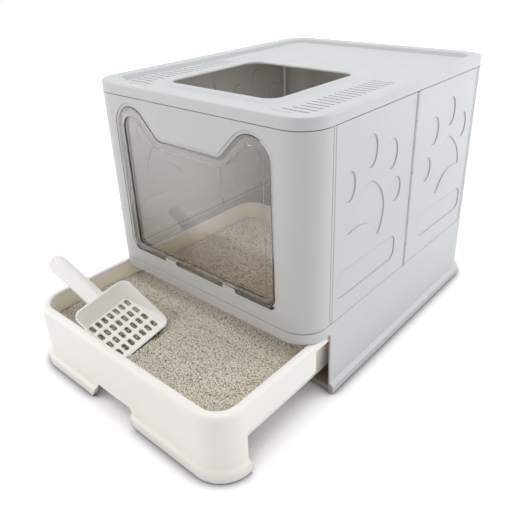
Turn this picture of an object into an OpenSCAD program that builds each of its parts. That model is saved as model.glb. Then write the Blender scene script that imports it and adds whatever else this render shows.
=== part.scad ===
// Drawer litter box: a base with a pull-out tray, a folding wall ring, a hinged cat-ear door,
// a lift-off slotted lid and a scoop. Millimetres, +Z up. The origin is on the floor under the
// centre of the housing. The drawer pulls out along -Y and the door is in the -Y wall.

/* [Housing] */
// Width of the housing, side to side
house_w = 410; // [400:1:420]
// Depth of the housing, front to back
house_d = 507; // [500:1:520]
// Height of the housing with its lid on
house_h = 414; // [410:1:424]
// Radius of the four upright corners
corner_r = 43; // [41:0.5:45]
// Height of the base moulding
base_h = 120; // [119:0.5:122]
// Thickness of the folding walls
wall_t = 3; // [2.8:0.1:3.2]
// Thickness of the base moulding's wall
base_t = 2.5; // [2:0.1:2.6]
// How far the foot flares out round the base
foot_flare = 6; // [4:0.5:8]

/* [Folding hinges] */
// Number of knuckles along each upright hinge
knuckle_count = 7; // [5:2:9]
// Radius of the knuckles at the four corners, which lie behind the wall's skin
corner_knuckle_r = 2.2; // [2:0.1:2.3]
// Radius of the knuckles in the middle of each side, which stand out as a bead
middle_knuckle_r = 2.8; // [2.6:0.1:3]
// Radius of an upright hinge pin
pin_r = 1.1; // [1:0.05:1.2]
// Play between a pin and its bore
pin_play = 0.05; // [0.03:0.01:0.1]

/* [Door] */
// Width of the door, with an ear at each side
door_w = 296; // [290:1:300]
// Height of the door's lower edge above the floor
door_low = 145; // [144:0.5:148]
// Height of the tips of the door's ears
door_high = 383.5; // [380:0.5:386]
// Radius of the door's ears
ear_r = 33; // [30:0.5:36]
// Width of the door's raised frame
door_frame_w = 13; // [11:0.5:13]
// Gap round the door
door_gap = 0.8; // [0.6:0.1:1.2]

/* [Drawer] */
// How far the drawer stands open
drawer_out = 168; // [160:1:168]
// Height of the drawer's rim
drawer_h = 102.5; // [101:0.5:103]
// Wall thickness of the drawer moulding
drawer_t = 2.5; // [2:0.1:2.7]
// Half width of the finger cut-out at the floor
grip_half_w = 53; // [48:1:60]
// Height of the finger cut-out
grip_h = 27; // [25:1:34]
// Depth of the litter in the drawer
litter_depth = 41; // [38:1:44]

/* [Scoop] */
// Rows of slots along the scoop
scoop_rows = 4; // [3:1:4]
// Slots in each row
scoop_columns = 7; // [5:1:7]
// Length of the scoop's handle
handle_l = 108; // [90:1:110]
// Width of the scoop's handle
handle_w = 28; // [24:1:30]

/* [Lid] */
// Width of the opening in the lid
opening_w = 203; // [190:1:206]
// Length of the opening in the lid, front to back
opening_d = 193; // [184:1:196]
// Slots on each side of the lid
vent_count = 18; // [12:1:18]
// Distance between two slots
vent_pitch = 12; // [12:0.5:12]
// Width of one slot
vent_w = 2.5; // [2:0.1:3]

/* [Hidden] */
$fn = 64;

half_w = house_w / 2;
half_d = house_d / 2;
big = 600;

// Heights of the wall ring
wall_top = house_h - 16.4;
tongue_top = house_h - 10;
tongue_low = base_h - 7;
seam_h = 1.1;
seam_depth = 1.4;

// Upright hinges: the corner pins lie inside the wall line and the middle pins outside it,
// so the two halves of a side swing inward and the front closes up against the back.
corner_pin_x = half_w - 4.4;
corner_pin_y = 206;
corner_gap = 3;
corner_reach = 7;
middle_pin_x = half_w - 0.5;
middle_gap = middle_knuckle_r + 0.25;
middle_reach = 4.2;
leaf_t = 2;
// A thin skin runs over each corner hinge in a shallow groove, parted at the pin
groove_half_w = 5.2;
groove_depth = 0.4;
skin_t = 1.5;
skin_gap = 0.4;
knuckle_low = base_h + 0.6;
knuckle_high = wall_top - 2.2;
knuckle_pitch = (knuckle_high - knuckle_low) / knuckle_count;
knuckle_space = 0.5;
pin_head_r = 2;
pin_head_h = 1.4;

// Door hinge
door_axis_y = -half_d + 3;
door_axis_z = door_low + 3;
bead_r = 3;
door_hook_r = 2.6;
door_pin_r = 1;
hook_x0 = 50;
hook_x1 = 75;
door_pin_x0 = 38;
door_pin_x1 = 87;

// Outline of the door: an ear at each side and a dip between them
sill_r = 20;
ear_x = door_w / 2 - ear_r;
ear_z = door_high - ear_r;
dip_r = 14;
dip_z = door_high - 40.5;
ear_line = ear_x - ear_z - ear_r * sqrt(2);
dip_x = dip_z + dip_r + ear_line - dip_r * sqrt(2);

// Base
floor_low = 5;
floor_top = 8;
bar_low = 104;
side_front_y = -203;
skid_x = 130;

// Drawer, placed by its own outline, which is the housing's outline shifted forward
drawer_rear = half_d - 3;
drawer_d = half_d + drawer_rear;
drawer_y = 1.5 - drawer_out;
return_y = -208.5;
skirt_low = 57;
skirt_back = -65.5;
flange_low = 91;
lip_r = 2.8;
tray_top_x = -13.5;
tray_low_x = -20;
tray_low = 33;
tray_slope = (tray_top_x - tray_low_x) / (drawer_h - lip_r - tray_low);
litter_top = tray_low + litter_depth;
drawer_flare = 4.5;
grip_x = -10;
grip_curve = 20;
dish_r = 28;
dish_slope = 6;
dish_depth = 0.2;
dish_tilt = 1.8;

// Scoop, lying on the litter with its head against the drawer's front
scoop_place = [-63.3, drawer_y - 187, 82.1];
scoop_turn = [11.6, 14.5, 3.4];
scoop_pitch = [19.5, 11];
scoop_slot = [13.5, 6.6];
scoop_t = 2.3;
scoop_rim = [103, 99, 14];

// Lid
lid_t = 2.4;
deck_top = house_h - 7;
deck_low = deck_top - lid_t;
lip_top = house_h - 3;
lip_w = 14.5;
opening_y = -95;
opening_r = 20;
rib_y = [25, 215];
rib_r = 8;
rib_h = 1.2;

// Paw print in a side panel: distance from the middle hinge, height, half width, half height
toes = [[169, 311, 14, 21], [119, 344, 15, 23], [64, 325, 15, 22], [48, 268, 15, 19]];
palm = [[120, 303], [94, 288], [80, 264], [79, 240], [91, 214], [108, 232], [126, 243],
    [150, 246], [170, 245], [162, 270], [145, 289]];
heel_centre = [116, 172.5];
heel_size = [156, 41];
paw_depth = 1.4;
paw_raise = 1;

housing_grey = [0.83, 0.84, 0.84];
cream = [0.95, 0.94, 0.91];
litter_beige = [0.72, 0.68, 0.6];
smoke = [0.45, 0.44, 0.42, 0.5];
steel = [0.75, 0.75, 0.77];

function arc(centre, r, from, to, steps = 10) =
    [for (i = [0 : steps]) let (a = from + (to - from) * i / steps) centre + r * [cos(a), sin(a)]];

// The door's outline, grown outward by o
function door_outline(o) = concat(
    arc([door_w / 2 - sill_r, door_low + sill_r], sill_r + o, -90, 0),
    arc([ear_x, ear_z], ear_r + o, 0, 135, 15),
    arc([dip_x, dip_z + dip_r], dip_r - o, -45, -90, 5),
    arc([-dip_x, dip_z + dip_r], dip_r - o, -90, -135, 5),
    arc([-ear_x, ear_z], ear_r + o, 45, 180, 15),
    arc([sill_r - door_w / 2, door_low + sill_r], sill_r + o, 180, 270));

function ellipse(rx, ry, steps = 24) =
    [for (i = [0 : steps - 1]) [rx * cos(360 * i / steps), ry * sin(360 * i / steps)]];

// A smooth closed curve through a loop of points
function curve_point(p, i, t) =
    let (n = len(p), a = p[(i + n - 1) % n], b = p[i], c = p[(i + 1) % n], d = p[(i + 2) % n])
    (2 * b + (c - a) * t + (2 * a - 5 * b + 4 * c - d) * t * t
        + (3 * b - a - 3 * c + d) * t * t * t) / 2;
function smooth_loop(p, steps = 4) =
    [for (i = [0 : len(p) - 1], k = [0 : steps - 1]) curve_point(p, i, k / steps)];

module round_rect(w, d, r) {
    square([w - 2 * r, d], center = true);
    square([w, d - 2 * r], center = true);
    for (sx = [-1, 1], sy = [-1, 1])
        translate([sx * (w / 2 - r), sy * (d / 2 - r)]) circle(r);
}

// Carries a profile round a rounded rectangle: its x is outward from the outline, its y is up
module sweep(w, d, r) {
    for (k = [0 : 3]) {
        across = k % 2 == 0 ? w : d;
        along = k % 2 == 0 ? d : w;
        rotate(90 * k) {
            translate([across / 2, along / 2 - r, 0])
                rotate([90, 0, 0]) linear_extrude(along - 2 * r) children();
            translate([across / 2 - r, along / 2 - r, 0])
                rotate_extrude(angle = 90) translate([r, 0]) children();
        }
    }
}

module sweep_house() {
    sweep(house_w, house_d, corner_r) children();
}

// The space between two planes across the housing
module slice(y0, y1, z0 = -1, z1 = big) {
    translate([-big / 2, y0, z0]) cube([big, y1 - y0, z1 - z0]);
}

module both_sides() {
    children();
    mirror([1, 0, 0]) children();
}

// A plate in the plane of the door, from its front face to its back face
module front_plate(outline, y0, y1) {
    translate([0, y1, 0]) rotate([90, 0, 0]) linear_extrude(y1 - y0) polygon(outline);
}

// A plate in the plane of the right side: the child's x is the distance in front of the middle
module side_plate(x0, x1) {
    translate([x1, 0, 0]) rotate([90, 0, -90]) linear_extrude(x1 - x0) children();
}

// ---- Folding walls ----

// Section of the wall ring: a plate with a tongue at its foot and one at its head. A rebate
// along the foot leaves a fine seam over the base.
module wall_profile() {
    polygon([[-seam_depth, base_h], [-seam_depth, base_h + seam_h], [0, base_h + seam_h],
        [0, wall_top], [-3.1, wall_top], [-3.1, tongue_top], [-6, tongue_top],
        [-6, wall_top - 7.6], [-wall_t, wall_top - 11], [-wall_t, base_h + 11],
        [-5, base_h + 9], [-5, tongue_low], [-2.9, tongue_low], [-2.9, base_h]]);
}

// Knuckles on one side of a hinge, each with a leaf that ties it to the wall plate towards dir
module knuckle_row(x, y, r, leaf_x, reach, dir, first) {
    for (i = [first : 2 : knuckle_count - 1])
        translate([0, y, knuckle_low + i * knuckle_pitch + knuckle_space / 2]) {
            translate([x, 0, 0]) cylinder(r = r, h = knuckle_pitch - knuckle_space);
            translate([leaf_x, dir > 0 ? 0 : -reach, 0])
                cube([leaf_t, reach, knuckle_pitch - knuckle_space]);
        }
}

module corner_knuckles(y, dir, first) {
    knuckle_row(corner_pin_x, y, corner_knuckle_r, corner_pin_x + 0.2, corner_reach, dir, first);
}

module middle_knuckles(dir, first) {
    knuckle_row(middle_pin_x, 0, middle_knuckle_r, middle_pin_x - 2.2, middle_reach, dir, first);
}

// Skin over the half of a corner hinge that lies towards dir
module hinge_skin(y, dir) {
    x = half_w - groove_depth - skin_t;
    translate([x, dir > 0 ? y + skin_gap : y - corner_gap - 1, base_h + seam_h])
        cube([skin_t, corner_gap + 1 - skin_gap, wall_top - base_h - seam_h]);
}

// Shallow groove down the outside of a corner hinge
module hinge_groove(y) {
    translate([half_w - groove_depth, y - groove_half_w, base_h - 1])
        cube([5, 2 * groove_half_w, wall_top - base_h + 2]);
}

module hinge_bore(x, y) {
    translate([x, y, base_h - 10]) cylinder(r = pin_r + pin_play, h = wall_top);
}

// An upright hinge pin, with a head that sits on the top knuckle
module hinge_pin(x, y) {
    color(steel) {
        head_z = knuckle_high - knuckle_space / 2;
        translate([x, y, knuckle_low + 1]) cylinder(r = pin_r, h = head_z - knuckle_low);
        translate([x, y, head_z]) cylinder(r = pin_head_r, h = pin_head_h);
    }
}

// Half of a side, on the right and in front; first_corner and first_middle start the knuckles
module side_half(first_corner, first_middle) {
    color(housing_grey) difference() {
        union() {
            intersection() {
                sweep_house() wall_profile();
                translate([0, corner_gap - corner_pin_y, 0])
                    cube([big, corner_pin_y - corner_gap - middle_gap, big]);
            }
            side_plate(half_w - wall_t - paw_raise, half_w - wall_t) paw_print();
            hinge_skin(-corner_pin_y, 1);
            corner_knuckles(-corner_pin_y, 1, first_corner);
            middle_knuckles(-1, first_middle);
        }
        side_plate(half_w - paw_depth, half_w + 1) paw_print();
        hinge_groove(-corner_pin_y);
        hinge_bore(corner_pin_x, -corner_pin_y);
        hinge_bore(middle_pin_x, 0);
    }
}

module paw_print() {
    for (toe = toes)
        translate([toe[0], toe[1]]) polygon(ellipse(toe[2], toe[3]));
    polygon(smooth_loop(palm));
    translate(heel_centre) round_rect(heel_size[0], heel_size[1], 15);
}

module right_front_panel() {
    side_half(1, 1);
}

module right_rear_panel() {
    mirror([0, 1, 0]) side_half(1, 0);
}

module left_front_panel() {
    mirror([1, 0, 0]) right_front_panel();
}

module left_rear_panel() {
    mirror([1, 0, 0]) right_rear_panel();
}

module rear_wall() {
    color(housing_grey) difference() {
        union() {
            intersection() {
                sweep_house() wall_profile();
                slice(corner_pin_y + corner_gap, big);
            }
            both_sides() {
                hinge_skin(corner_pin_y, 1);
                corner_knuckles(corner_pin_y, 1, 0);
            }
        }
        both_sides() {
            hinge_groove(corner_pin_y);
            hinge_bore(corner_pin_x, corner_pin_y);
        }
    }
}

// Collar round the doorway: a step set 1 mm back in front, and a ledge behind for the door
module door_collar() {
    plate_back = -half_d + wall_t;
    difference() {
        union() {
            front_plate(door_outline(5.2), 1 - half_d, plate_back + 1);
            front_plate(door_outline(7.5), plate_back, plate_back + 5);
        }
        front_plate(door_outline(door_gap), -half_d - 1, plate_back + 3.2);
        front_plate(door_outline(-4), plate_back, plate_back + 6);
        translate([-big / 2, door_axis_y, door_axis_z])
            rotate([0, 90, 0]) cylinder(r = bead_r + 0.9, h = big);
    }
}

// Hook that holds the door's pin, open at the back so that the door snaps in
module door_hook() {
    difference() {
        union() {
            translate([hook_x0, door_axis_y, door_axis_z])
                rotate([0, 90, 0]) cylinder(r = door_hook_r, h = hook_x1 - hook_x0);
            translate([hook_x0, door_axis_y - 2, door_low - 3])
                cube([hook_x1 - hook_x0, 4, 6]);
        }
        translate([hook_x0 - 1, door_axis_y, door_axis_z])
            rotate([0, 90, 0]) cylinder(r = door_pin_r + pin_play, h = hook_x1 - hook_x0 + 2);
        translate([hook_x0 - 1, door_axis_y, door_axis_z])
            rotate([40, 0, 0]) translate([0, 0, -0.85]) cube([hook_x1 - hook_x0 + 2, 5, 1.7]);
    }
}

module front_wall() {
    color(housing_grey) difference() {
        union() {
            difference() {
                intersection() {
                    sweep_house() wall_profile();
                    slice(-big, -corner_pin_y - corner_gap);
                }
                front_plate(door_outline(5), -half_d - 1, -half_d + wall_t + 4);
            }
            door_collar();
            both_sides() {
                door_hook();
                hinge_skin(-corner_pin_y, -1);
                corner_knuckles(-corner_pin_y, -1, 0);
            }
        }
        both_sides() {
            hinge_groove(-corner_pin_y);
            hinge_bore(corner_pin_x, -corner_pin_y);
        }
    }
}

// ---- Door ----

// Clear door: a raised frame round a thin pane, with a round bead along its foot
module door() {
    color(smoke) difference() {
        intersection() {
            difference() {
                front_plate(door_outline(0), -half_d, -half_d + 6);
                front_plate(door_outline(-door_frame_w), -half_d - 1, -half_d + 4);
            }
            union() {
                translate([-big / 2, -big / 2, door_axis_z]) cube([big, big / 2, big]);
                translate([-big / 2, door_axis_y, door_axis_z])
                    rotate([0, 90, 0]) cylinder(r = bead_r, h = big);
            }
        }
        both_sides() {
            translate([hook_x0 - 0.6, -half_d - 1, door_low - 1])
                cube([hook_x1 - hook_x0 + 1.2, 8, 7.8]);
            translate([door_pin_x0, door_axis_y, door_axis_z])
                rotate([0, 90, 0]) cylinder(r = door_pin_r, h = door_pin_x1 - door_pin_x0);
        }
    }
}

module door_hinge_pin_right() {
    color(steel) translate([door_pin_x0, door_axis_y, door_axis_z])
        rotate([0, 90, 0]) cylinder(r = door_pin_r, h = door_pin_x1 - door_pin_x0);
}

module door_hinge_pin_left() {
    mirror([1, 0, 0]) door_hinge_pin_right();
}

// ---- Base ----

// Upper band of the base, with the ledge that guides the wall ring's lower tongue
module base_bar_profile() {
    polygon([[-base_t, bar_low], [0, bar_low], [0, base_h - 1], [-0.8, base_h],
        [-base_t, base_h], [-base_t, tongue_low - 0.4], [-5.6, tongue_low - 0.4],
        [-5.6, tongue_low - 2.4], [-base_t, tongue_low - 5.5]]);
}

module base_wall_profile() {
    base_bar_profile();
    polygon([[-base_t, 0], [foot_flare - 1.5, 0], [foot_flare, 1.5], [foot_flare, 13.5],
        [0, 18], [0, bar_low + 1], [-base_t, bar_low + 1]]);
}

module base_housing() {
    color(housing_grey) {
        intersection() {
            sweep_house() base_bar_profile();
            slice(-big, side_front_y + 1);
        }
        intersection() {
            sweep_house() base_wall_profile();
            slice(side_front_y, big);
        }
        intersection() {
            translate([0, 0, floor_low]) linear_extrude(floor_top - floor_low)
                round_rect(house_w - 3, house_d - 3, corner_r - 1.5);
            slice(side_front_y + 4, big);
        }
        translate([-half_w + 1, side_front_y + 4, 0]) cube([house_w - 2, 3, floor_top]);
        both_sides() {
            translate([skid_x - 1.5, side_front_y + 5, 0]) cube([3, 440, floor_low + 1]);
            translate([skid_x + 6, side_front_y + 14, floor_top - 1]) cube([3, 420, 6]);
        }
    }
}

// ---- Drawer ----

// Region between the skirt's face and the tray's inner face, shrunk by t
module rim_section(skirt_x, rim_r, t) {
    lip_x = tray_top_x + lip_r;
    foot_x = tray_low_x - tray_slope * (tray_low + 1);
    translate([skirt_x - rim_r, drawer_h - rim_r]) intersection() {
        circle(rim_r - t);
        square(rim_r);
    }
    translate([lip_x, drawer_h - lip_r]) circle(lip_r - t);
    polygon([[skirt_x - t, -1], [skirt_x - t, drawer_h - rim_r], [skirt_x - rim_r, drawer_h - rim_r],
        [skirt_x - rim_r, drawer_h - t], [lip_x, drawer_h - t],
        [tray_top_x + t, drawer_h - lip_r], [foot_x + t, -1]]);
}

// Section of the drawer: the skirt, the rolled rim, the drafted tray wall and the tray's floor
module drawer_profile(skirt_x, rim_r, skirt_end) {
    difference() {
        rim_section(skirt_x, rim_r, 0);
        rim_section(skirt_x, rim_r, drawer_t);
        translate([-40, -2]) square([30, tray_low - drawer_t + 2]);
        translate([-11.5, -2]) square([20, skirt_end + 2]);
    }
    translate([-35, tray_low - drawer_t]) square([35 + tray_low_x + 1, drawer_t]);
}

// The front stands on the floor and its foot flares out in a soft curve
module drawer_front_profile() {
    drawer_profile(0, 9, 0);
    polygon(concat([[-drawer_t, 21], [-drawer_t, 0], [drawer_flare - 1.4, 0], [drawer_flare, 1.4]],
        [for (i = [0 : 6]) [drawer_flare * (1 + cos(30 * i)) / 2, 15 + i]]));
}

module drawer_sweep() {
    translate([0, (drawer_rear - half_d) / 2, 0]) sweep(house_w, drawer_d, corner_r) children();
}

// Half of the finger cut-out's outline, drawn in to its top by a soft S
function grip_edge(side) = [for (i = [0 : 14])
    let (t = side > 0 ? i / 14 : 1 - i / 14)
    [grip_x + side * (grip_half_w - grip_curve * t), grip_h * (1 - cos(180 * t)) / 2]];

// Shallow dish in the front, round one end of the finger cut-out and deepest at its far side
module grip_dish() {
    intersection() {
        translate([grip_half_w - grip_curve - 6, -half_d, 17])
            rotate([0, -25, 0]) rotate([0, 0, dish_tilt]) translate([0, dish_depth, 0])
            rotate([90, 0, 0]) cylinder(r1 = dish_r, r2 = dish_r + 4 * dish_slope, h = 4);
        slice(-big, 0, 21.2);
    }
}

module drawer() {
    color(cream) translate([0, drawer_y, 0]) {
        difference() {
            union() {
                intersection() {
                    drawer_sweep() drawer_front_profile();
                    slice(-big, return_y);
                }
                intersection() {
                    drawer_sweep() drawer_profile(-3.1, 6.5, skirt_low);
                    slice(return_y, skirt_back);
                }
                intersection() {
                    drawer_sweep() drawer_profile(-3.1, 6.5, flange_low);
                    slice(skirt_back, big);
                }
                intersection() {
                    drawer_sweep() rim_section(-3.1, 6.5, 0.3);
                    slice(skirt_back - drawer_t, skirt_back, skirt_low, drawer_h - 1);
                }
                translate([0, (drawer_rear - half_d) / 2, tray_low - drawer_t])
                    linear_extrude(drawer_t) round_rect(house_w - 68, drawer_d - 68, corner_r - 34);
            }
            translate([0, -half_d + 10, 0]) rotate([90, 0, 0]) linear_extrude(30)
                polygon(concat([[grip_x + grip_half_w, -1]], grip_edge(1), grip_edge(-1),
                    [[grip_x - grip_half_w, -1]]));
            translate([grip_x, 0, 0]) both_sides() grip_dish();
        }
        both_sides() translate([skid_x - 3, -200, floor_top]) {
            cube([2, 430, tray_low - drawer_t - floor_top + 0.5]);
            translate([4, 0, 0]) cube([2, 430, tray_low - drawer_t - floor_top + 0.5]);
            cube([6, 430, 2]);
        }
    }
}

// ---- Litter ----

// The bed fills the tray to litter_top, with a hollow where the scoop's head lies
module litter_bed() {
    color(litter_beige) difference() {
        translate([0, drawer_y, 0]) {
            drawer_sweep() polygon([[-35, tray_low], [tray_low_x - 0.3, tray_low],
                [tray_low_x - 0.3 + tray_slope * litter_depth, litter_top], [-35, litter_top]]);
            translate([0, (drawer_rear - half_d) / 2, tray_low])
                linear_extrude(litter_depth) round_rect(house_w - 68, drawer_d - 68, corner_r - 34);
        }
        for (y = [0, -4], z = [0, 4, 8])
            translate([0, y, z]) scoop_frame() scoop_hollow(z > 0 ? 2 : 0.6);
    }
}

// ---- Scoop ----

module scoop_frame() {
    translate(scoop_place) rotate(scoop_turn) children();
}

// Space that the scoop's head takes in the litter, with a margin
module scoop_hollow(margin) {
    scoop_bowl(margin, -scoop_t - 0.6);
}

// The tray of the scoop as a solid, grown by g, with its floor at height low
module scoop_bowl(g, low) {
    hull() {
        translate([1.5, 0.5, low]) linear_extrude(0.1)
            round_rect(85 + 2 * g, 80 + 2 * g, 9 + g, $fn = 32);
        translate([-1.8, 1.7, 16.4]) rotate([-2.3, 13.5, 0]) linear_extrude(0.1)
            round_rect(scoop_rim[0] + 2 * g, scoop_rim[1] + 2 * g, scoop_rim[2] + g, $fn = 32);
    }
}

module scoop_handle() {
    translate([-47, -1, 20.5]) rotate([0, 10, 0]) intersection() {
        union() {
            translate([-handle_l + handle_w / 2, -handle_w / 2, -5])
                cube([handle_l - handle_w / 2, handle_w, 12]);
            translate([-handle_l + handle_w / 2, 0, -5]) cylinder(r = handle_w / 2, h = 12);
        }
        translate([-handle_l - 1, 0, -12]) rotate([0, 90, 0]) cylinder(r = 18, h = handle_l + 1);
    }
}

module scoop() {
    color(cream) scoop_frame() difference() {
        union() {
            scoop_bowl(0, -scoop_t);
            scoop_handle();
        }
        translate([0, 0, 0.3]) scoop_bowl(-scoop_t, -0.3);
        for (i = [0 : scoop_rows - 1], j = [0 : scoop_columns - 1])
            translate([(i - (scoop_rows - 1) / 2) * scoop_pitch[0],
                (j - (scoop_columns - 1) / 2) * scoop_pitch[1], -scoop_t - 1])
                linear_extrude(scoop_t + 2) round_rect(scoop_slot[0], scoop_slot[1], 2.8);
    }
}

// ---- Lid ----

// A soft S between two points, from level to level
function soft_step(a, b, steps = 8) = [for (i = [0 : steps]) let (t = i / steps)
    [a[0] + (b[0] - a[0]) * t, a[1] + (b[1] - a[1]) * (1 - cos(180 * t)) / 2]];

// Section of the lid's border: skirt, rounded edge, narrow rim and the soft slope to the deck
module lid_profile() {
    edge_r = 2.5;
    translate([-edge_r, house_h - edge_r]) circle(edge_r);
    polygon([[0, wall_top + 0.8], [0, house_h - edge_r], [-edge_r, house_h], [-14.5, house_h],
        [-17.5, house_h - 0.3], [-20.5, house_h - 1.1], [-23.5, house_h - 2.4], [-31, deck_top + 0.7],
        [-32, deck_top + 0.2], [-33, deck_top], [-36, deck_top], [-36, deck_low], [-33, deck_low],
        [-22.8, house_h - 5.4], [-19, house_h - 3.3], [-14.5, house_h - lid_t],
        [-8, house_h - lid_t], [-8, tongue_top], [-2.6, tongue_top], [-2.6, wall_top + 0.8]]);
}

// Section of the deck's rise to the edge of the opening
module lip_profile() {
    polygon(concat([[0, lip_top - 2.8], [0, lip_top - 0.8], [0.8, lip_top]],
        soft_step([2, lip_top], [lip_w, deck_top]),
        soft_step([lip_w, deck_low], [2, lip_top - 2.8])));
}

// Slots fan in with the corner of the rim at the front and run level behind it
function vent_inner(y) = min(136.5, 116.6 + 0.7 * (y + 216));
function vent_outer(y) = y > -190 ? 171.5 : 133 + sqrt(38.5 * 38.5 - (y + 190) * (y + 190));

// Low round-backed rib along the deck
module lid_rib() {
    rib_z = deck_top + rib_h - rib_r;
    translate([0, rib_y[0], rib_z]) sphere(rib_r);
    translate([0, rib_y[1], rib_z]) rotate([90, 0, 0]) cylinder(r = rib_r, h = rib_y[1] - rib_y[0]);
}

module lid() {
    color(housing_grey) {
        difference() {
            union() {
                sweep_house() lid_profile();
                translate([0, 0, deck_low]) linear_extrude(lid_t)
                    round_rect(house_w - 70, house_d - 70, corner_r - 35);
                intersection() {
                    for (x = [-120 : 60 : 120]) translate([x, 0, 0]) lid_rib();
                    slice(0, big, deck_low + 1);
                }
            }
            translate([0, opening_y, deck_low - 1]) linear_extrude(8)
                round_rect(opening_w + 2 * lip_w - 2, opening_d + 2 * lip_w - 2, opening_r + lip_w - 1);
            for (i = [0 : vent_count - 1]) {
                y = -216 + i * vent_pitch;
                both_sides() translate([vent_inner(y), y - vent_w / 2, deck_low - 1])
                    cube([vent_outer(y) - vent_inner(y), vent_w, 5]);
            }
        }
        translate([0, opening_y, 0]) sweep(opening_w, opening_d, opening_r) lip_profile();
    }
}

module front_right_hinge_pin() {
    hinge_pin(corner_pin_x, -corner_pin_y);
}

module front_left_hinge_pin() {
    hinge_pin(-corner_pin_x, -corner_pin_y);
}

module rear_right_hinge_pin() {
    hinge_pin(corner_pin_x, corner_pin_y);
}

module rear_left_hinge_pin() {
    hinge_pin(-corner_pin_x, corner_pin_y);
}

module mid_right_hinge_pin() {
    hinge_pin(middle_pin_x, 0);
}

module mid_left_hinge_pin() {
    hinge_pin(-middle_pin_x, 0);
}

base_housing();
drawer();
litter_bed();
scoop();
front_wall();
rear_wall();
left_front_panel();
left_rear_panel();
right_front_panel();
right_rear_panel();
front_left_hinge_pin();
front_right_hinge_pin();
rear_left_hinge_pin();
rear_right_hinge_pin();
mid_left_hinge_pin();
mid_right_hinge_pin();
door();
door_hinge_pin_left();
door_hinge_pin_right();
lid();
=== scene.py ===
import bpy
import bmesh
import math
import random
from mathutils import Euler, Matrix, Vector, noise


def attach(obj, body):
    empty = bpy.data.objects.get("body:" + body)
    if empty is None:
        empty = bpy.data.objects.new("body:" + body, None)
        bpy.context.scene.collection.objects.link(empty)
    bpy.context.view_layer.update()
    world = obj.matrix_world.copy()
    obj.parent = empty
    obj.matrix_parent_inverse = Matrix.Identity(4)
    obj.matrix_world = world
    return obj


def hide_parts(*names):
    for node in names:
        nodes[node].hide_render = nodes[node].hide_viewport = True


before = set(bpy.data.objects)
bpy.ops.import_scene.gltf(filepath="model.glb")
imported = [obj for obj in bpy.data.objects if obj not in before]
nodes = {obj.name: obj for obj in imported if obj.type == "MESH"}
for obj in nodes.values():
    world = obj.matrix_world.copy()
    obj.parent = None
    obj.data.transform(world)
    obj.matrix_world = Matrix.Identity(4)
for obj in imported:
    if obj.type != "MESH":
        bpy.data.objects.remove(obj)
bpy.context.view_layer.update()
scene = bpy.context.scene
mm = 0.001
random.seed(11)
print("frame loaded:", len(nodes), "pieces")


def startMaterial(name):
    material = bpy.data.materials.new(name)
    material.use_nodes = True
    tree = material.node_tree
    surface = tree.nodes["Principled BSDF"]
    place = tree.nodes.new("ShaderNodeTexCoord")
    return material, tree, surface, place


def addNoise(tree, place, scale, detail, roughness=0.5):
    pattern = tree.nodes.new("ShaderNodeTexNoise")
    pattern.inputs["Scale"].default_value = scale
    pattern.inputs["Detail"].default_value = detail
    pattern.inputs["Roughness"].default_value = roughness
    tree.links.new(place.outputs["Object"], pattern.inputs["Vector"])
    return pattern.outputs["Fac"]


def mapRange(tree, source, fromLow, fromHigh, toLow, toHigh, smooth=False):
    node = tree.nodes.new("ShaderNodeMapRange")
    if smooth:
        node.interpolation_type = "SMOOTHSTEP"
    for key, value in (("From Min", fromLow), ("From Max", fromHigh), ("To Min", toLow), ("To Max", toHigh)):
        node.inputs[key].default_value = value
    tree.links.new(source, node.inputs["Value"])
    return node.outputs["Result"]


def combine(tree, operation, sources):
    # two at a time, so any number of sources will do
    result = sources[0]
    for source in sources[1:]:
        node = tree.nodes.new("ShaderNodeMath")
        node.operation = operation
        tree.links.new(result, node.inputs[0])
        tree.links.new(source, node.inputs[1])
        result = node.outputs[0]
    return result


def blend(tree, factor, first, second):
    # each of the two colours is a tone or another node's output
    mix = tree.nodes.new("ShaderNodeMix")
    mix.data_type = "RGBA"
    for key, color in (("A", first), ("B", second)):
        if isinstance(color, tuple):
            mix.inputs[key].default_value = (*color, 1)
        else:
            tree.links.new(color, mix.inputs[key])
    tree.links.new(factor, mix.inputs["Factor"])
    return mix.outputs["Result"]


def addOpenness(tree, reach, samples, ownShape=False):
    # 1 out in the open, less down in a hollow
    hollow = tree.nodes.new("ShaderNodeAmbientOcclusion")
    hollow.samples = samples
    hollow.only_local = ownShape
    hollow.inputs["Distance"].default_value = reach
    return hollow.outputs["AO"]


def addBump(tree, surface, pattern, strength, depth):
    bump = tree.nodes.new("ShaderNodeBump")
    bump.inputs["Strength"].default_value = strength
    bump.inputs["Distance"].default_value = depth
    tree.links.new(pattern, bump.inputs["Height"])
    tree.links.new(bump.outputs["Normal"], surface.inputs["Normal"])
    return bump


def bandMask(tree, place, band):
    # 1 inside a box-shaped band of the part's own coordinates, fading out over its margins
    split = tree.nodes.new("ShaderNodeSeparateXYZ")
    tree.links.new(place.outputs["Object"], split.inputs["Vector"])
    steps = []
    for axis, low, high, margin in band:
        source = split.outputs[axis.upper()]
        if axis.islower():               # a small letter means the distance from the middle plane
            size = tree.nodes.new("ShaderNodeMath")
            size.operation = "ABSOLUTE"
            tree.links.new(source, size.inputs[0])
            source = size.outputs[0]
        for edge, sign in ((low, 1), (high, -1)):
            steps.append(mapRange(
                tree, source, edge - sign * margin, edge + sign * margin, 0.0, 1.0, smooth=True))
    return combine(tree, "MULTIPLY", steps)


def toneBands(tree, place, colorSource, bands):
    for tone, band in bands:
        colorSource = blend(tree, bandMask(tree, place, band), colorSource, tone)
    return colorSource


def hollowPaintedShade(tree, colorSource, shade):
    # painted shade: hollows take on a deeper tone
    reach, closed, opened, tone, ownShape = shade
    openness = addOpenness(tree, reach, samples=6, ownShape=ownShape)
    return blend(tree, mapRange(tree, openness, closed, opened, 0.0, 1.0), tone, colorSource)


patternRange = (0.3, 0.7)               # between these the noise does its work


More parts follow.
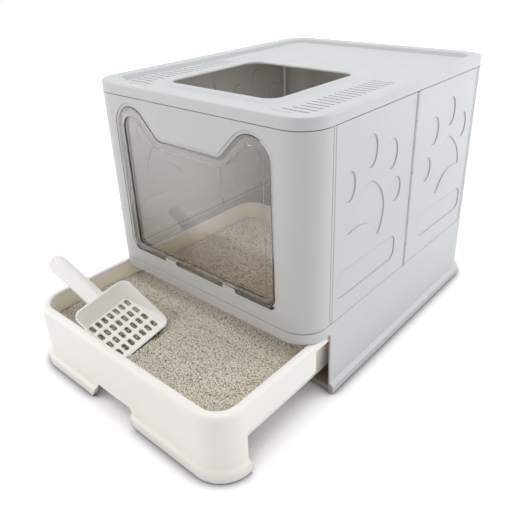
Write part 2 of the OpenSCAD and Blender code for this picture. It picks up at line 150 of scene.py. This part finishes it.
def mouldedPlastic(name, look):
    material, tree, surface, place = startMaterial(name)
    cloud = addNoise(tree, place, look["cloudScale"], detail=3)
    colorSource = blend(
        tree, mapRange(tree, cloud, *patternRange, 0.0, 1.0), look["color"], look["cloudColor"])
    for shade in look["paintedShades"]:
        colorSource = hollowPaintedShade(tree, colorSource, shade)
    colorSource = toneBands(tree, place, colorSource, look.get("bands", ()))
    tree.links.new(colorSource, surface.inputs["Base Color"])
    gloss = (look["roughness"] - look["glossSpread"], look["roughness"] + look["glossSpread"])
    tree.links.new(mapRange(tree, cloud, *patternRange, *gloss), surface.inputs["Roughness"])
    edges = tree.nodes.new("ShaderNodeBevel")        # softens the moulded edges
    edges.samples = 4
    edges.inputs["Radius"].default_value = look["edge"]
    grain = addNoise(tree, place, look["grainScale"], detail=2, roughness=0.6)
    bump = addBump(tree, surface, grain, look["grainStrength"], look["grainDepth"])
    tree.links.new(edges.outputs["Normal"], bump.inputs["Normal"])
    surface.inputs["IOR"].default_value = look["ior"]
    surface.inputs["Specular IOR Level"].default_value = look["specular"]
    return material


housingLook = {
    "color": (0.605, 0.624, 0.646),     # cool light grey
    "cloudColor": (0.595, 0.614, 0.634),
    "cloudScale": 9.0,
    # for each painted shade in the hollows: reach, closed and open share, tone, own shape only
    # a brown painted shade deep inside the housing
    "paintedShades": ((260.0 * mm, 0.08, 0.54, (0.39, 0.30, 0.225), False),),
    "roughness": 0.42,
    "glossSpread": 0.03,
    "ior": 1.47,
    "specular": 0.45,
    "edge": 0.9 * mm,
    "grainScale": 1400.0,               # fine spark-eroded grain
    "grainStrength": 0.18,
    "grainDepth": 0.12 * mm,
}
# a band is a painted tone of light or shade and the limits of its place, in metres: axis, low, high and the
# margin of its fade
# painted shade in the fine seam over the base
seamPaintedShade = ((0.18, 0.178, 0.175), (("Z", 0.1196, 0.1214, 0.0002),))     # the fine seam over the base
# painted light down in the corner hinges' slits, a lighter tone over their shade
slitPaintedLight = ((0.80, 0.815, 0.83), (("x", 0.1960, 0.2042, 0.0003), ("y", 0.2015, 0.2095, 0.0003)))
frontLook = {
    **housingLook,
    "color": (0.60, 0.609, 0.614),
    "cloudColor": (0.59, 0.599, 0.603),
    "edge": 1.2 * mm,
    "bands": (
        seamPaintedShade,
        slitPaintedLight,
        # the shadowed gap round the door
        ((0.16, 0.15, 0.14), (
            ("Y", -0.2521, -0.2462, 0.0002), ("x", -1.0, 0.1556, 0.0002), ("Z", 0.138, 0.393, 0.0005))),
    ),
}
# softer edges, for the rounded paw prints
panelLook = {**housingLook, "edge": 2.0 * mm, "bands": (seamPaintedShade, slitPaintedLight)}
# painted shade for the rim's inner slope
slopePaintedShade = (0.47, 0.485, 0.50)
slopeHeight = ("Z", 0.4076, 0.4125, 0.0006)
lidLook = {
    **housingLook,
    "bands": (
        # painted shade on the rim's inner slope, on the sides and at the back, short of the lid's outer face
        (slopePaintedShade, (slopeHeight, ("x", 0.1700, 0.1870, 0.001), ("Y", -0.211, 0.2345, 0.001))),
        (slopePaintedShade, (slopeHeight, ("Y", 0.2185, 0.2350, 0.001), ("x", -1.0, 0.1700, 0.001))),
    ),
}
creamLook = {
    "color": (0.93, 0.91, 0.885),       # warm white
    "cloudColor": (0.92, 0.90, 0.87),
    "cloudScale": 8.0,
    # warm painted shade in the drawer's own hollows
    "paintedShades": ((60.0 * mm, 0.3, 0.97, (0.96, 0.86, 0.65), True),),
    "bands": (
        # painted warm light on the tray's inner walls, thrown back from the litter beside them
        ((1.0, 0.93, 0.78), (
            ("Z", 0.066, 0.0965, 0.002), ("x", -1.0, 0.1915, 0.0005), ("Y", -0.4045, 1.0, 0.0005))),
    ),
    "roughness": 0.38,
    "glossSpread": 0.03,
    "ior": 1.47,
    "specular": 0.5,
    "edge": 0.8 * mm,
    "grainScale": 1100.0,
    "grainStrength": 0.12,
    "grainDepth": 0.1 * mm,
}
scoopLook = {
    **creamLook,
    "color": (0.965, 0.96, 0.938),
    "cloudColor": (0.955, 0.95, 0.925),
    # a light painted shade in the scoop's own hollows
    "paintedShades": ((20.0 * mm, 0.2, 0.8, (0.94, 0.93, 0.87), True),),
    "bands": (),                        # without the tray's band
}
smokeLook = {
    "color": (0.985, 0.983, 0.99),      # faint smoke tint
    "clearness": 0.94,                  # the rest is a milky haze
    "roughness": 0.01,
    "glossSpread": 0.03,
    "ior": 1.49,
    "waveScale": 9.0,                   # slight unevenness of a moulded pane
    "waveStrength": 0.15,
    "waveDepth": 0.12 * mm,
    "bands": (
        # painted shade: the pane darkens to one side and towards the foot
        ((0.80, 0.778, 0.765), (("X", 0.06, 1.0, 0.09),)),
        ((0.63, 0.575, 0.51), (("Z", 0.0, 0.205, 0.045),)),
        # the frame's sides, which look dark where light runs along them
        ((0.22, 0.205, 0.195), (("Y", -0.2521, -0.2501, 0.0003),)),
    ),
}
steelLook = {
    "color": (0.62, 0.62, 0.63),
    "roughness": 0.28,
    "speckScale": 900.0,                # fine specks of the drawn wire
    "speckTone": 0.8,
    "glossRange": (-0.05, 0.08),
}


def smokeClear(name, look):
    material, tree, surface, place = startMaterial(name)
    tint = tree.nodes.new("ShaderNodeRGB")
    tint.outputs[0].default_value = (*look["color"], 1)
    colorSource = toneBands(tree, place, tint.outputs[0], look["bands"])
    tree.links.new(colorSource, surface.inputs["Base Color"])
    surface.inputs["Transmission Weight"].default_value = look["clearness"]
    surface.inputs["IOR"].default_value = look["ior"]
    wave = addNoise(tree, place, look["waveScale"], detail=1)
    haze = mapRange(tree, wave, *patternRange, look["roughness"], look["roughness"] + look["glossSpread"])
    tree.links.new(haze, surface.inputs["Roughness"])
    addBump(tree, surface, wave, look["waveStrength"], look["waveDepth"])
    return material


def drawnWire(name, look):
    material, tree, surface, place = startMaterial(name)
    surface.inputs["Metallic"].default_value = 1.0
    specks = addNoise(tree, place, look["speckScale"], detail=2)
    speckColor = tuple(look["speckTone"] * c for c in look["color"])
    tint = blend(tree, mapRange(tree, specks, *patternRange, 0.0, 1.0), look["color"], speckColor)
    tree.links.new(tint, surface.inputs["Base Color"])
    gloss = (look["roughness"] + change for change in look["glossRange"])
    tree.links.new(mapRange(tree, specks, *patternRange, *gloss), surface.inputs["Roughness"])
    return material


clayLook = {
    "speckleScale": 420.0,
    "speckleRange": (0.35, 0.65),
    # painted shade between the grains and along the walls, with the same facts as the housing's painted
    # shades
    "shade": (65.0 * mm, 0.1, 0.54, (0.40, 0.345, 0.26), False),
    "roughness": 0.9,
    "specular": 0.2,
    "bumpStrength": 0.6,
    "bumpDepth": 0.5 * mm,
}
clayBedLook = {
    "cellScale": 430.0,
    "gapRange": (0.25, 0.6),            # how far out in a cell the grain's tone turns into the gap's
    "grain": (0.62, 0.55, 0.44),
    # painted shade in the gaps between the cells
    "gap": (0.15, 0.115, 0.075),
    "roughness": 0.95,
}


def clayMaterial(name, first, second):
    material, tree, surface, place = startMaterial(name)
    speckle = addNoise(tree, place, clayLook["speckleScale"], detail=4, roughness=0.65)
    tint = blend(tree, mapRange(tree, speckle, *clayLook["speckleRange"], 0.0, 1.0), first, second)
    tree.links.new(hollowPaintedShade(tree, tint, clayLook["shade"]), surface.inputs["Base Color"])
    addBump(tree, surface, speckle, clayLook["bumpStrength"], clayLook["bumpDepth"])
    surface.inputs["Roughness"].default_value = clayLook["roughness"]
    surface.inputs["Specular IOR Level"].default_value = clayLook["specular"]
    return material


def clayBedMaterial(name):
    # a lower layer of grains: round cells with painted shade in the gaps between them
    material, tree, surface, place = startMaterial(name)
    cells = tree.nodes.new("ShaderNodeTexVoronoi")
    cells.inputs["Scale"].default_value = clayBedLook["cellScale"]
    tree.links.new(place.outputs["Object"], cells.inputs["Vector"])
    gap = mapRange(tree, cells.outputs["Distance"], *clayBedLook["gapRange"], 0.0, 1.0, smooth=True)
    tree.links.new(blend(tree, gap, clayBedLook["grain"], clayBedLook["gap"]), surface.inputs["Base Color"])
    surface.inputs["Roughness"].default_value = clayBedLook["roughness"]
    surface.inputs["Specular IOR Level"].default_value = 0.0
    return material


housingPlastic = mouldedPlastic("housingPlastic", housingLook)
frontPlastic = mouldedPlastic("frontPlastic", frontLook)
panelPlastic = mouldedPlastic("panelPlastic", panelLook)
lidPlastic = mouldedPlastic("lidPlastic", lidLook)
creamPlastic = mouldedPlastic("creamPlastic", creamLook)
scoopPlastic = mouldedPlastic("scoopPlastic", scoopLook)
smokePlastic = smokeClear("smokePlastic", smokeLook)
pinSteel = drawnWire("pinSteel", steelLook)

finishes = {
    "front_wall": frontPlastic,
    "rear_wall": panelPlastic,
    "lid": lidPlastic,
    "drawer": creamPlastic,
    "scoop": scoopPlastic,
    "door": smokePlastic,
}
for name, piece in nodes.items():
    finish = finishes.get(name, housingPlastic)
    if name.endswith("_panel"):
        finish = panelPlastic
    elif "hinge_pin" in name:
        finish = pinSteel
    for slot in piece.material_slots:
        slot.material = finish
    if not piece.material_slots:
        piece.data.materials.append(finish)


doorRounding = {
    "width": 1.7 * mm,
    "flatAngle": 0.5,                   # flat triangles that meet under this angle are joined, degrees
    "edgeAngle": 50.0,                  # edges sharper than this are rounded
    "segments": 3,
}


def roundDoorFrame():
    flats = nodes["door"].modifiers.new("joinFlats", "DECIMATE")
    flats.decimate_type = "DISSOLVE"
    flats.angle_limit = math.radians(doorRounding["flatAngle"])
    rounding = nodes["door"].modifiers.new("roundEdges", "BEVEL")
    rounding.width = doorRounding["width"]
    rounding.segments = doorRounding["segments"]
    rounding.limit_method = "ANGLE"
    rounding.angle_limit = math.radians(doorRounding["edgeAngle"])
    rounding.use_clamp_overlap = False
    rounding.harden_normals = True


roundDoorFrame()
print("finishes set")


litter = {
    "center": (0.0, -168.0),            # middle of the drawer's tray, mm
    "size": (375.0, 469.0),
    "cornerRadius": 25.5,
    "top": 72.6,
    "bottom": 33.6,
    "step": 3.0,                        # spacing of the bed's surface points
    "weld": 0.2,                        # points nearer than this become one
    "moundHeight": 3.2,
    "moundScale": 0.021,
    "rippleShare": 0.5,                 # height of the smaller waves, as a share of the mounds'
    "rippleScale": 3.1,                 # how many times finer they are
    "noiseLevels": (0.7, 4.2),          # where in the noise the mounds and the ripples are cut
    "highest": 75.2,
    "draft": 2.4,                       # the bed's foot is this much smaller, all round
    "wander": 0.4,                      # random shift of a grain, as a share of the spacing
    "wallGap": 0.4,
    "strips": (
        # depth from the drawer's front, spacing of the grains, half length of a grain
        (0, 64, 1.75, (0.95, 1.5)),
        (64, 128, 1.75, (0.95, 1.5)),
        (128, 192, 1.75, (0.95, 1.5)),
        (192, 330, 2.5, (1.3, 2.1)),
        (330, 469, 2.7, (1.3, 2.1)),
    ),
    "batch": 120,
    "kinds": (0.34, 0.66, 0.93, 0.97, 0.988, 0.997),    # running shares of the clays, in their order
}
grainShape = {
    "lift": (-0.3, 0.5),                # its middle over the bed, in half lengths of the grain
    "tilt": 0.6,                        # radians
    "width": (0.7, 0.95),               # shares of its length
    "height": (0.6, 0.85),
    "lumps": (0.8, 1.15),               # how far its points are moved in and out
}
scoopRest = {                           # where the scoop's head lies, as the CAD has it, mm and degrees
    "place": (-63.3, -353.5, 82.1),
    "turn": (11.6, 14.5, 3.4),
    "floor": (86.5, 81.5),
    "rim": (100.0, 99.0),
    "rimHeight": 16.4,
    "underside": -2.3,
    "corner": 10.0,
    "margin": 1.0,                      # a point this far beside the bowl still counts as under it
    "levels": (96, 88, 80, 72, 64, 56),     # heights at which a point is tried against the bowl
    "gap": 0.8,                         # air between the litter and the scoop
}
bank = {                                # litter banked up under the scoop's raised side
    "level": 88.0,                      # height at which its outline is taken
    "shift": (1.5, 0.5),                # its middle, from the middle of the scoop's head
    "size": (85.0, 80.0),
    "corner": 9.0,
    "reach": 14.0,                      # it starts to rise this far outside its outline
    "fade": 17.0,                       # and is full this much further in
    "gap": 1.0,                         # air left under the scoop
}

scoopFrame = (Matrix.Translation(scoopRest["place"])
              @ Matrix.Rotation(math.radians(scoopRest["turn"][2]), 4, "Z")
              @ Matrix.Rotation(math.radians(scoopRest["turn"][1]), 4, "Y")
              @ Matrix.Rotation(math.radians(scoopRest["turn"][0]), 4, "X"))
scoopInverse = scoopFrame.inverted()


def edgeDistance(x, y, w, d, r):
    # how far a point lies outside a rounded rectangle, negative inside
    qx = abs(x) - (w / 2 - r)
    qy = abs(y) - (d / 2 - r)
    return math.hypot(max(qx, 0), max(qy, 0)) + min(max(qx, qy), 0) - r


def underScoop(x, y):
    # height of the scoop's underside over a point, or None beside the scoop
    height = None
    for z in scoopRest["levels"]:
        p = scoopInverse @ Vector((x, y, z))
        rise = max(0.0, (p.z - scoopRest["underside"])) / (scoopRest["rimHeight"] - scoopRest["underside"])
        rise = min(rise, 1.0)
        w = scoopRest["floor"][0] + rise * (scoopRest["rim"][0] - scoopRest["floor"][0])
        d = scoopRest["floor"][1] + rise * (scoopRest["rim"][1] - scoopRest["floor"][1])
        inside = edgeDistance(p.x, p.y, w, d, scoopRest["corner"]) < scoopRest["margin"]
        if scoopRest["underside"] <= p.z < scoopRest["rimHeight"] and inside:
            height = z
    if height is None:
        return None
    base = scoopFrame @ Vector((*(scoopInverse @ Vector((x, y, height))).xy, scoopRest["underside"]))
    return base.z


def bankedHeight(x, y, h):
    local = scoopInverse @ Vector((x, y, bank["level"]))
    away = edgeDistance(local.x - bank["shift"][0], local.y - bank["shift"][1], *bank["size"], bank["corner"])
    under = (scoopFrame @ Vector((local.x, local.y, scoopRest["underside"]))).z - bank["gap"]
    fill = min(1.0, max(0.0, (bank["reach"] - away) / bank["fade"]))
    eased = fill * fill * (3 - 2 * fill)             # flat where it starts and where it is full
    return h + eased * max(0.0, under - h)


def bedHeight(x, y):
    s = litter["moundScale"]
    fine = litter["rippleScale"]
    moundLevel, rippleLevel = litter["noiseLevels"]
    h = litter["top"] + litter["moundHeight"] * noise.noise(Vector((x * s, y * s, moundLevel)))
    ripple = noise.noise(Vector((x * s * fine, y * s * fine, rippleLevel)))
    h += litter["rippleShare"] * litter["moundHeight"] * ripple
    h = bankedHeight(x, y, min(h, litter["highest"]))
    lowest = underScoop(x, y)
    if lowest is not None:
        h = min(h, lowest - scoopRest["gap"])
    return h


def makeLitterBed():
    bed = bmesh.new()
    cx, cy = litter["center"]
    w, d = litter["size"]
    cols = int(w / litter["step"])
    rows = int(d / litter["step"])
    bmesh.ops.create_grid(bed, x_segments=cols, y_segments=rows, size=0.5)
    bmesh.ops.scale(bed, vec=(w, d, 1), verts=bed.verts)
    r = litter["cornerRadius"]
    for v in bed.verts:                  # pull the corners in to the tray's corner radius
        over = edgeDistance(v.co.x, v.co.y, w, d, r)
        if over > 0:
            middle = Vector((math.copysign(w / 2 - r, v.co.x), math.copysign(d / 2 - r, v.co.y)))
            pull = (v.co.xy - middle).normalized() * r
            v.co.x, v.co.y = middle.x + pull.x, middle.y + pull.y
    bmesh.ops.remove_doubles(bed, verts=bed.verts, dist=litter["weld"])
    bmesh.ops.translate(bed, vec=(cx, cy, 0), verts=bed.verts)
    top = list(bed.verts)
    skirt = bmesh.ops.extrude_edge_only(bed, edges=[e for e in bed.edges if e.is_boundary])
    low = [g for g in skirt["geom"] if isinstance(g, bmesh.types.BMVert)]
    for v in top:
        v.co.z = bedHeight(v.co.x, v.co.y)
    for v in low:
        v.co.z = litter["bottom"]
        v.co.x -= litter["draft"] * v.co.x / (w / 2)
        v.co.y -= litter["draft"] * (v.co.y - cy) / (d / 2)
    bmesh.ops.holes_fill(bed, edges=[e for e in bed.edges if e.is_boundary], sides=0)
    bmesh.ops.recalc_face_normals(bed, faces=bed.faces)
    for f in bed.faces:
        f.smooth = True
    bmesh.ops.scale(bed, vec=(mm, mm, mm), verts=bed.verts)
    mesh = bpy.data.meshes.new("litterBed")
    bed.to_mesh(mesh)
    bed.free()
    piece = bpy.data.objects.new("litterBed", mesh)
    scene.collection.objects.link(piece)
    return piece


def grainSpots(nearEdge, farEdge, spacing):
    # evenly spread spots with a random shift, so that no bare patches stay
    w = litter["size"][0]
    wander = litter["wander"]
    for row in range(int((farEdge - nearEdge) / spacing)):
        for col in range(int(w / spacing)):
            x = (col + 0.5 + 0.5 * (row % 2) + random.uniform(-wander, wander)) * spacing - w / 2
            y = nearEdge + (row + 0.5 + random.uniform(-wander, wander)) * spacing
            yield x, y


def grainHeight(x, y, size):
    z = bedHeight(x, y) + random.uniform(*grainShape["lift"]) * size
    lowest = underScoop(x, y)
    if lowest is not None:
        z = min(z, lowest - scoopRest["gap"] - size)
    return z


def grainKind():
    pick = random.random()
    return sum(pick > share for share in litter["kinds"])


def addGrain(batch, place, size):
    tilt = grainShape["tilt"]
    turn = Euler((random.uniform(-tilt, tilt), random.uniform(-tilt, tilt), random.uniform(0, math.tau)))
    width = random.uniform(*grainShape["width"])
    squash = Vector((size, size * width, size * random.uniform(*grainShape["height"])))
    grain = bmesh.ops.create_icosphere(
        batch, subdivisions=1, radius=1.0, matrix=Matrix.LocRotScale(place, turn, squash))
    kind = grainKind()
    for v in grain["verts"]:
        v.co = place.lerp(v.co, random.uniform(*grainShape["lumps"]))
        for f in v.link_faces:
            f.material_index = kind


def scatterGrains(name, nearEdge, farEdge, spacing, grainSize, clays):
    # rough, slightly flattened granules, made in small batches and joined
    heap = bmesh.new()
    cy = litter["center"][1]
    w, d = litter["size"]
    spots = []
    for x, y in grainSpots(nearEdge, farEdge, spacing):
        size = random.uniform(*grainSize)
        if edgeDistance(x, y - cy, w, d, litter["cornerRadius"]) < -size - litter["wallGap"]:
            spots.append((x, y, size))
    for first in range(0, len(spots), litter["batch"]):
        batch = bmesh.new()
        for x, y, size in spots[first:first + litter["batch"]]:
            addGrain(batch, Vector((x, y, grainHeight(x, y, size))), size)
        part = bpy.data.meshes.new("grainBatch")
        batch.to_mesh(part)
        batch.free()
        heap.from_mesh(part)
        bpy.data.meshes.remove(part)
    bmesh.ops.scale(heap, vec=(mm, mm, mm), verts=heap.verts)
    mesh = bpy.data.meshes.new(name)
    heap.to_mesh(mesh)
    heap.free()
    for clay in clays:
        mesh.materials.append(clay)
    piece = bpy.data.objects.new(name, mesh)
    scene.collection.objects.link(piece)
    return piece


clayTones = {
    "claySand": ((0.90, 0.84, 0.73), (0.80, 0.74, 0.63)),
    "clayPale": ((0.93, 0.89, 0.81), (0.85, 0.80, 0.71)),
    "clayWhite": ((0.97, 0.95, 0.91), (0.91, 0.88, 0.83)),
    "clayBrown": ((0.50, 0.43, 0.35), (0.40, 0.34, 0.27)),
    "clayDark": ((0.28, 0.25, 0.21), (0.20, 0.175, 0.15)),
    "clayGreen": ((0.36, 0.50, 0.44), (0.28, 0.42, 0.37)),
    "clayTeal": ((0.30, 0.47, 0.46), (0.23, 0.40, 0.39)),
}
clayFinishes = [clayMaterial(clay, *tones) for clay, tones in clayTones.items()]
litterBed = makeLitterBed()
litterBed.data.materials.append(clayBedMaterial("clayBed"))
grainPieces = []
frontLine = litter["center"][1] - litter["size"][1] / 2
for number, (near, far, spacing, grainSize) in enumerate(litter["strips"]):
    grainPieces.append(scatterGrains(
        "litterGrains%d" % number, frontLine + near, frontLine + far, spacing, grainSize, clayFinishes))
for piece in (litterBed, *grainPieces):
    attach(piece, "drawer")
    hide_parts("litter_bed")
print("litter spread:", sum(len(p.data.polygons) for p in grainPieces), "grain faces")


studio = {
    "floorSize": 12.0,
    "floorColor": (0.93, 0.93, 0.935),
    # painted contact shadow: the floor's tone close under the foot
    "contactShadowColor": (0.15, 0.135, 0.175),   # floor tone close under the foot
    "contact": (
        # layers of painted contact shadow: reach, closed and open share, what is left when closed
        (0.024, 0.35, 1.0, 0.15),
        (0.10, 0.1, 0.8, 0.42),
    ),
    "glow": 0.34,                       # white that only the camera, reflections and clear plastic see
    "glowFar": (0.75, 1.7),             # distances over which the floor turns to plain white
    "worldLevel": 0.57,
    "worldColor": (1.0, 0.978, 0.94),
    "lamps": (
        # name, place, aim, width, height, watts, colour
        ("topBox", (0.1, -0.1, 2.2), (0, -0.05, 0.2), 1.8, 1.8, 17.5, (0.965, 0.985, 1)),
        ("leftBox", (-1.7, -1.5, 1.0), (-0.1, -0.25, 0.2), 1.2, 1.4, 12.5, (1, 0.98, 0.955)),
        ("rightBox", (1.6, 1.5, 0.9), (0.2, 0.05, 0.2), 1.2, 1.4, 18.0, (0.93, 0.98, 1)),
    ),
    "cabinLight": {"place": (-0.03, -0.02, 0.25), "radius": 0.08, "watts": 0.31, "color": (1.0, 0.87, 0.74)},
}


def lightPathWhite(tree):
    # 1 where the camera, a reflection or clear plastic looks at it
    path = tree.nodes.new("ShaderNodeLightPath")
    rays = ("Is Camera Ray", "Is Glossy Ray", "Is Transmission Ray")
    return combine(tree, "MAXIMUM", [path.outputs[ray] for ray in rays])


def floorPaper():
    # pale paper that keeps the shadows, turns plain white far out, and has a painted contact shadow close
    # under the object
    material, tree, surface, place = startMaterial("floorPaper")
    surface.inputs["Roughness"].default_value = 0.9
    surface.inputs["Specular IOR Level"].default_value = 0.0
    shares = []
    for reach, closed, opened, least in studio["contact"]:
        contact = addOpenness(tree, reach, samples=16)
        shares.append(mapRange(tree, contact, closed, opened, least, 1.0, smooth=True))
    openness = combine(tree, "MULTIPLY", shares)
    tint = blend(tree, openness, studio["contactShadowColor"], studio["floorColor"])
    tree.links.new(tint, surface.inputs["Base Color"])
    distance = tree.nodes.new("ShaderNodeVectorMath")
    distance.operation = "LENGTH"
    tree.links.new(place.outputs["Object"], distance.inputs[0])
    far = mapRange(tree, distance.outputs["Value"], *studio["glowFar"], studio["glow"], 1.0, smooth=True)
    # the white glow fades in the painted contact shadow
    strength = combine(tree, "MULTIPLY", (far, lightPathWhite(tree), openness))
    surface.inputs["Emission Color"].default_value = (1, 1, 1, 1)
    tree.links.new(strength, surface.inputs["Emission Strength"])
    return material


def makeFloor():
    sheet = bmesh.new()
    bmesh.ops.create_grid(sheet, x_segments=1, y_segments=1, size=studio["floorSize"] / 2)
    mesh = bpy.data.meshes.new("studioFloor")
    sheet.to_mesh(mesh)
    sheet.free()
    floor = bpy.data.objects.new("studioFloor", mesh)
    scene.collection.objects.link(floor)
    mesh.materials.append(floorPaper())


def makeWorld():
    world = bpy.data.worlds.new("studioWorld")
    scene.world = world
    world.use_nodes = True
    tree = world.node_tree
    sky = tree.nodes["Background"]
    seen = lightPathWhite(tree)
    level = mapRange(tree, seen, 0.0, 1.0, studio["worldLevel"], 1.0)
    tree.links.new(level, sky.inputs["Strength"])
    tree.links.new(blend(tree, seen, studio["worldColor"], (1, 1, 1)), sky.inputs["Color"])


def makeCabinLight():
    # stands in for the light that seeps through the thin walls
    facts = studio["cabinLight"]
    lamp = bpy.data.lights.new("cabinLight", "POINT")
    lamp.energy = facts["watts"]
    lamp.color = facts["color"]
    lamp.shadow_soft_size = facts["radius"]
    holder = bpy.data.objects.new("cabinLight", lamp)
    scene.collection.objects.link(holder)
    holder.location = facts["place"]
    for ray in ("visible_camera", "visible_glossy", "visible_transmission"):
        setattr(holder, ray, False)


def makeLamp(name, place, aim, width, height, watts, color):
    lamp = bpy.data.lights.new(name, "AREA")
    lamp.shape = "RECTANGLE"
    lamp.size, lamp.size_y = width, height
    lamp.energy = watts
    lamp.color = color
    holder = bpy.data.objects.new(name, lamp)
    scene.collection.objects.link(holder)
    holder.location = place
    holder.rotation_euler = (Vector(aim) - Vector(place)).to_track_quat("-Z", "Y").to_euler()


camera = {
    "place": (0.55154, -0.72143, 0.58017),
    "azimuth": 41.35,                   # degrees
    "elevation": 26.06,
    "roll": -1.85,
    "lens": 39.26,                      # mm, on a sensor 36 mm wide
    "sensor": 36.0,
    "shift": (-0.02115, -0.06518),
    "clip": (0.01, 60.0),
}


def makeCamera():
    eye = bpy.data.cameras.new("studioCamera")
    eye.sensor_width = camera["sensor"]
    eye.lens = camera["lens"]
    eye.shift_x, eye.shift_y = camera["shift"]
    eye.clip_start, eye.clip_end = camera["clip"]
    holder = bpy.data.objects.new("studioCamera", eye)
    scene.collection.objects.link(holder)
    az, el, roll = (math.radians(camera[k]) for k in ("azimuth", "elevation", "roll"))
    ahead = Vector((-math.sin(az) * math.cos(el), math.cos(az) * math.cos(el), -math.sin(el)))
    right = ahead.cross(Vector((0, 0, 1))).normalized()
    up = right.cross(ahead)
    rolledRight = right * math.cos(roll) + up * math.sin(roll)
    rolledUp = up * math.cos(roll) - right * math.sin(roll)
    turn = Matrix((rolledRight, rolledUp, -ahead)).transposed()
    holder.matrix_world = Matrix.Translation(camera["place"]) @ turn.to_4x4()
    scene.camera = holder


makeFloor()
makeWorld()
for lampFacts in studio["lamps"]:
    makeLamp(*lampFacts)
makeCabinLight()
makeCamera()
scene.view_settings.view_transform = "Standard"
print("studio ready")
